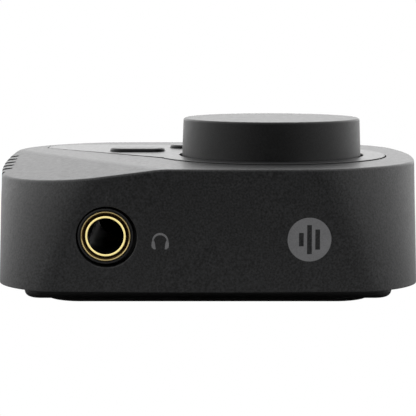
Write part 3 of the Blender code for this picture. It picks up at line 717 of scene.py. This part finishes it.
def build_knob():
    top = KNOB_HIGH.z
    foot = (KNOB_BASE_R - KNOB_FOOT_EDGE, KNOB_LOW.z + KNOB_FOOT_EDGE)
    shoulder = (KNOB_TOP_R - KNOB_TOP_EDGE, top - KNOB_TOP_EDGE)
    profile = [(0, top), (0.006, top), (0.012, top)]
    profile += arc(shoulder, KNOB_TOP_EDGE, 90, 2, 8)
    profile += arc(foot, KNOB_FOOT_EDGE, 0, -90, 4)
    profile.append((KNOB_BASE_R - KNOB_WALL, KNOB_LOW.z))
    profile += [(KNOB_TOP_R - KNOB_WALL, top - KNOB_ROOF), (0, top - KNOB_ROOF)]
    knob = solid("visual_knob_cap", moved(turned(profile, 192), KNOB_CENTRE.x, KNOB_CENTRE.y))
    piece(knob, "knob", "knob_graphite", "knob_cap")


def build_button(side):
    low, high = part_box(f"{side}_button_cap")
    place = BUTTON_PLACES[side]
    top = high.z - BUTTON_SINK
    flange_top = CEILING - GAP
    flange = pill(BUTTON_HALF[0] + BUTTON_FLANGE, BUTTON_HALF[1] + BUTTON_FLANGE)
    rings = [at_height(flange, low.z), at_height(flange, flange_top)]
    rings.append(at_height(pill(*BUTTON_HALF), flange_top))
    for inset, drop in quarter_round(BUTTON_EDGE, 6):
        rings.append(at_height(pill(BUTTON_HALF[0] - inset, BUTTON_HALF[1] - inset), top - drop))
    # A shallow dish for the fingertip
    for share, depth in BUTTON_DISH:
        half_length = BUTTON_HALF[0] - BUTTON_EDGE - (1 - share) * BUTTON_DISH_RUN
        shape = pill(half_length, (BUTTON_HALF[1] - BUTTON_EDGE) * share)
        rings.append(at_height(shape, top - depth))
    cap = solid(f"visual_{side}_button_cap", moved(loft(rings), place.x, place.y))
    piece(cap, f"{side}_button", "button_rubber", f"{side}_button_cap")


# ---------------------------------------------------------------- sockets

def place_along(obj, x, y, z, facing):
    """As laid, for a finished object."""
    turn = Matrix.Rotation(-facing * math.pi / 2, 4, "X")
    obj.data.transform(Matrix.Translation((x, y, z)) @ turn)


def mouth_of(node, facing):
    """Where a socket's body starts along Y, and how deep it is."""
    low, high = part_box(node)
    return low.y if facing < 0 else high.y, high.y - low.y


def build_housing(side, facing):
    """The block with its nose ring, built with the mouth at 0 and the inside towards -Z."""
    mouth, depth = mouth_of(f"{side}_jack_housing", facing)
    across, up = JACK_BLOCK_HALF
    block = box((-across, -up, -depth), (across, up, -JACK_NECK), JACK_BLOCK_BEVEL)
    root = -JACK_NECK - JACK_NOSE_ROOT
    ring = [(0, root), (JACK_NOSE_R, root)]
    ring += arc((JACK_NOSE_R - JACK_NOSE_EDGE, -JACK_NOSE_EDGE), JACK_NOSE_EDGE, 0, 90, 6)
    ring.append((0, 0))
    bore = cylinder((0, 0), JACK_BORE_R + 0.00015, -depth - BEYOND, BEYOND, 64)
    room = cylinder((0, 0), JACK_SLEEVE_R + 0.0001, -JACK_NECK - JACK_SLEEVE_ROOM, BEYOND, 96)
    wide, tall = JACK_SLOT_HALF
    start, end = JACK_SLOT_ENDS
    slots = box((-wide, -tall, -depth + start), (wide, tall, -depth + end))
    housing = solid(f"visual_{side}_jack_housing", block, [bore, room, slots], [turned(ring)])
    middle = middle_of(f"{side}_jack_sleeve")
    place_along(housing, middle.x, mouth, middle.z, facing)
    piece(housing, "chassis", "jack_black", f"{side}_jack_housing")


def build_sleeve(side, facing):
    """Bush: bright outer rim, turned countersink, rolled lip, then the plain bore."""
    mouth, length = mouth_of(f"{side}_jack_sleeve", facing)
    points = arc((JACK_SLEEVE_R - SLEEVE_RIM, -SLEEVE_RIM), SLEEVE_RIM, 0, 90, 4)
    start_r, end_r = JACK_SLEEVE_R - 2 * SLEEVE_RIM, JACK_LIP_R + 0.00005
    start_z, end_z = -0.00006, -0.00085
    steps = SLEEVE_GROOVES * GROOVE_STEPS
    for i in range(steps + 1):
        share = i / steps
        wave = GROOVE_DEPTH * math.cos(share * SLEEVE_GROOVES * math.tau)
        points.append((start_r + (end_r - start_r) * share, start_z + (end_z - start_z) * share + wave))
    bead = (JACK_LIP_R - JACK_BORE_R) / 2
    lip = (JACK_BORE_R + bead, -0.0002)
    points.append((lip[0] + bead, -JACK_LIP_DEPTH))
    points += arc(lip, bead, 10, 180, 12)
    bore_r = JACK_BORE_R + 0.0001
    points += [(JACK_BORE_R, -JACK_LIP_DEPTH), (bore_r, -0.0012), (bore_r, -length)]
    points.append((JACK_SLEEVE_R, -length))
    sleeve = solid(f"visual_{side}_jack_sleeve", turned(points, 128, closed=True))
    middle = middle_of(f"{side}_jack_sleeve")
    place_along(sleeve, middle.x, mouth, middle.z, facing)
    piece(sleeve, "chassis", "gold_plate", f"{side}_jack_sleeve", SLEEVE_SHARP)
    # Black inside the bore; painted shade on the turned countersink, a darker gold; a painted glint on
    # the lip, a brighter gold that glows
    for slot in ("jack_black", "gold_shaded_cone", "gold_glowing_lip"):
        sleeve.data.materials.append(LOOKS[slot])
    for polygon in sleeve.data.polygons:
        depth = (polygon.center.y - mouth) * -facing
        off = math.hypot(polygon.center.x - middle.x, polygon.center.z - middle.z)
        in_bore = depth > 0.0009 and off < JACK_BORE_R + 0.0003
        on_lip = depth < 0.0009 and JACK_BORE_R + 0.00006 < off < JACK_LIP_R - 0.00002
        on_cone = depth < 0.0012 and off < JACK_SLEEVE_R - 0.00025
        if in_bore:
            polygon.material_index = 1
        elif on_lip:
            polygon.material_index = 3
        elif on_cone:
            polygon.material_index = 2


def build_usb():
    half = ((USB_HIGH.x - USB_LOW.x) / 2, (USB_HIGH.z - USB_LOW.z) / 2)
    length = USB_HIGH.y - USB_LOW.y
    rings = [at_height(pill(half[0], half[1], 20), -length)]
    for inset, drop in quarter_round(USB_EDGE, 3):
        rings.append(at_height(pill(half[0] - inset, half[1] - inset, 20), -drop))
    inner = pill(half[0] - USB_SHEET, half[1] - USB_SHEET, 20)
    cut = loft([at_height(inner, -length - 0.001), at_height(inner, 0.001)])
    shell = solid("visual_usb_port_shell", loft(rings), [cut])
    place_along(shell, USB_MIDDLE.x, USB_HIGH.y, USB_MIDDLE.z, 1)
    piece(shell, "chassis", "steel", "usb_port_shell")


# ---------------------------------------------------------------- base and pad

def plinth_outline(inset):
    return rounded_rectangle(PLINTH_HALF - Vector((inset, inset)), PLINTH_CORNER - inset, 20, 6)


def build_base():
    rings = []
    for rise, inset in quarter_round(PLINTH_EDGE, 6):
        rings.append(at_height(plinth_outline(inset), BASE_LOW.z + rise))
    rings.append(at_height(plinth_outline(0.0), BASE_STEP))
    rings += [body_ring(WALL + GAP, z, corner_steps=20, side_steps=6) for z in (BASE_STEP, BASE_HIGH_Z)]
    joins, cuts = [], []
    for place in screw_places("board_screw"):
        joins.append(cylinder(place, BOARD_POST_R, BASE_STEP, BOARD_POST_TOP))
        cuts.append(cylinder(place, PILOT_R, *BOARD_PILOT, 16))
    for place in screw_places("base_screw"):
        cuts.append(cylinder(place, SCREW_HOLE_R, 0.0, SCREW_HOLE_TOP, 16))
        cuts.append(cylinder(place, SCREW_HEAD_R, 0.0, SCREW_HEAD_TOP))
    base = solid("visual_base_plate", loft(rings), cuts, joins)
    piece(base, "chassis", "base_black", "base_plate")


def build_pad():
    half = Vector(((PAD_HIGH.x - PAD_LOW.x) / 2, (PAD_HIGH.y - PAD_LOW.y) / 2))
    rings = []
    for rise, inset in quarter_round(PAD_EDGE, 4):
        shape = rounded_rectangle(half - Vector((inset, inset)), PAD_CORNER - inset)
        rings.append(at_height(shape, rise))
    rings.append(at_height(rounded_rectangle(half, PAD_CORNER), PAD_HIGH.z))
    piece(solid("visual_rubber_pad", loft(rings)), "chassis", "pad_rubber", "rubber_pad")


# ---------------------------------------------------------------- printed marks

def printed(name, shapes):
    """Flat shapes on the front face, each filled between a pair of equally long edges in (x, z)."""
    bm = bmesh.new()
    for left, right in shapes:
        rows = []
        for ends in zip(left, right):
            row = []
            for x, z in ends:
                y = front_face_y(x, z)
                row += [bm.verts.new((x, y - INK, z)), bm.verts.new((x, y + INK, z))]
            rows.append(row)
        for a, b in zip(rows, rows[1:]):
            for i, j in ((0, 2), (3, 1), (1, 0), (2, 3)):
                bm.faces.new((a[i], a[j], b[j], b[i]))
        for row, order in ((rows[0], (0, 1, 3, 2)), (rows[-1], (2, 3, 1, 0))):
            bm.faces.new([row[i] for i in order])
    piece(to_object(name, bm), "chassis", "print_grey")


def print_headphones():
    """A headband that thins towards its ends, and two splayed cups."""
    outer, inner = [], []
    for i in range(BAND_STEPS + 1):
        angle = math.radians(184 - 188 * i / BAND_STEPS)
        thick = BAND_THIN + BAND_SWELL * math.sin(math.radians(180 * i / BAND_STEPS))
        outer.append(polar(PHONES_MIDDLE, BAND_R, angle))
        inner.append(polar(PHONES_MIDDLE, BAND_R - thick, angle))
    shapes = [(outer, inner)]
    for sign in (1, -1):
        mirrored = [[(sign * x, z) for x, z in edge] for edge in (CUP_OUTSIDE, CUP_INSIDE)]
        shapes.append([shifted(edge, *PHONES_MIDDLE) for edge in mirrored])
    printed("print_headphones", shapes)


def print_level_mark():
    """A generic mark: a disc with three level bars left clear in it."""
    edges = [-MARK_R * MARK_REACH]
    edges += [x + side * MARK_BAR_HALF_WIDTH for x, _ in MARK_BARS for side in (-1, 1)]
    edges.append(MARK_R * MARK_REACH)
    shapes = []
    for i, (left, right) in enumerate(zip(edges, edges[1:])):
        clear = MARK_BARS[(i - 1) // 2][1] if i % 2 else 0.0
        xs = [left + (right - left) * k / MARK_STEPS for k in range(MARK_STEPS + 1)]
        for sign in (1, -1):
            outer = [(x, sign * math.sqrt(MARK_R * MARK_R - x * x)) for x in xs]
            inner = [(x, sign * clear) for x in xs]
            shapes.append([shifted(edge, *MARK_MIDDLE) for edge in (outer, inner)])
    printed("print_level_mark", shapes)


build_shell()
build_inlay()
build_knob()
for side in ("left", "right"):
    build_button(side)
for side, facing in JACKS.items():
    build_housing(side, facing)
    build_sleeve(side, facing)
build_usb()
build_base()
build_pad()
print_headphones()
print_level_mark()


# ---------------------------------------------------------------- stage, light and camera

def build_world():
    """A soft white studio: bright behind and at the sides, dark round the camera."""
    world = bpy.data.worlds.new("studio")
    bpy.context.scene.world = world
    tree = new_tree(world)
    coordinates = add(tree, "ShaderNodeTexCoord")
    split = add(tree, "ShaderNodeSeparateXYZ")
    tree.links.new(coordinates.outputs["Generated"], split.inputs["Vector"])
    to_back = spread(tree, split.outputs["Y"], 0.0, 1.0, start=-1.0, end=1.0)
    # A colour ramp holds no more than 1, so its levels are shares of the brightest one
    ramp = add(tree, "ShaderNodeValToRGB")
    ramp.color_ramp.interpolation = "B_SPLINE"
    elements = ramp.color_ramp.elements
    while len(elements) < len(LEVELS):
        elements.new(0.5)
    for element, (position, level) in zip(elements, LEVELS):
        element.position = position
        element.color = (*[level / BRIGHTEST] * 3, 1)
    tree.links.new(to_back, ramp.inputs["Fac"])
    overhead = spread(tree, split.outputs["Z"], 0.0, 1.0, start=0.45, end=0.95)
    # Inputs 6 and 7 and output 2 are the mix node's colours
    mix = add(tree, "ShaderNodeMix", data_type="RGBA")
    tree.links.new(overhead, mix.inputs["Factor"])
    tree.links.new(ramp.outputs["Color"], mix.inputs[6])
    mix.inputs[7].default_value = (*[OVERHEAD / BRIGHTEST] * 3, 1)
    light = add(tree, "ShaderNodeBackground", Strength=BRIGHTEST)
    tree.links.new(mix.outputs[2], light.inputs["Color"])
    white = add(tree, "ShaderNodeBackground", Color=(1, 1, 1, 1))
    seen = white_to_camera(tree, light.outputs["Background"], white.outputs["Background"])
    out = add(tree, "ShaderNodeOutputWorld")
    tree.links.new(seen, out.inputs["Surface"])


def build_floor():
    """A pale floor: evenly white to the camera, and less bright towards the front to all else."""
    bm = bmesh.new()
    bmesh.ops.create_grid(bm, x_segments=8, y_segments=8, size=FLOOR_HALF)
    floor = to_object("studio_floor", bm)
    made = bpy.data.materials.new("floor_pale")
    tree = new_tree(made)
    place = place_of(tree)
    split = add(tree, "ShaderNodeSeparateXYZ")
    tree.links.new(place, split.inputs["Vector"])
    level = spread(tree, split.outputs["Y"], 0.12, 0.9, start=-0.12, end=0.05)
    grain = spread(tree, noise(tree, place, 30), 0.97, 1.0)
    matte = add(tree, "ShaderNodeBsdfDiffuse")
    tree.links.new(tint(tree, (1, 1, 1), times(tree, level, grain)), matte.inputs["Color"])
    white = add(tree, "ShaderNodeEmission", Color=(1, 1, 1, 1))
    seen = white_to_camera(tree, matte.outputs["BSDF"], white.outputs["Emission"])
    out = add(tree, "ShaderNodeOutputMaterial")
    tree.links.new(seen, out.inputs["Surface"])
    floor.data.materials.append(made)


def build_camera():
    data = bpy.data.cameras.new("camera")
    data.sensor_width = CAMERA_SENSOR
    data.lens = CAMERA_LENS
    data.clip_start = CAMERA_CLIP
    camera = bpy.data.objects.new("camera", data)
    camera.location = CAMERA_PLACE
    camera.rotation_euler = (math.radians(90 - CAMERA_PITCH), 0, 0)
    bpy.context.scene.collection.objects.link(camera)
    bpy.context.scene.camera = camera


build_world()
build_floor()
build_camera()
bpy.context.scene.view_settings.view_transform = "Standard"
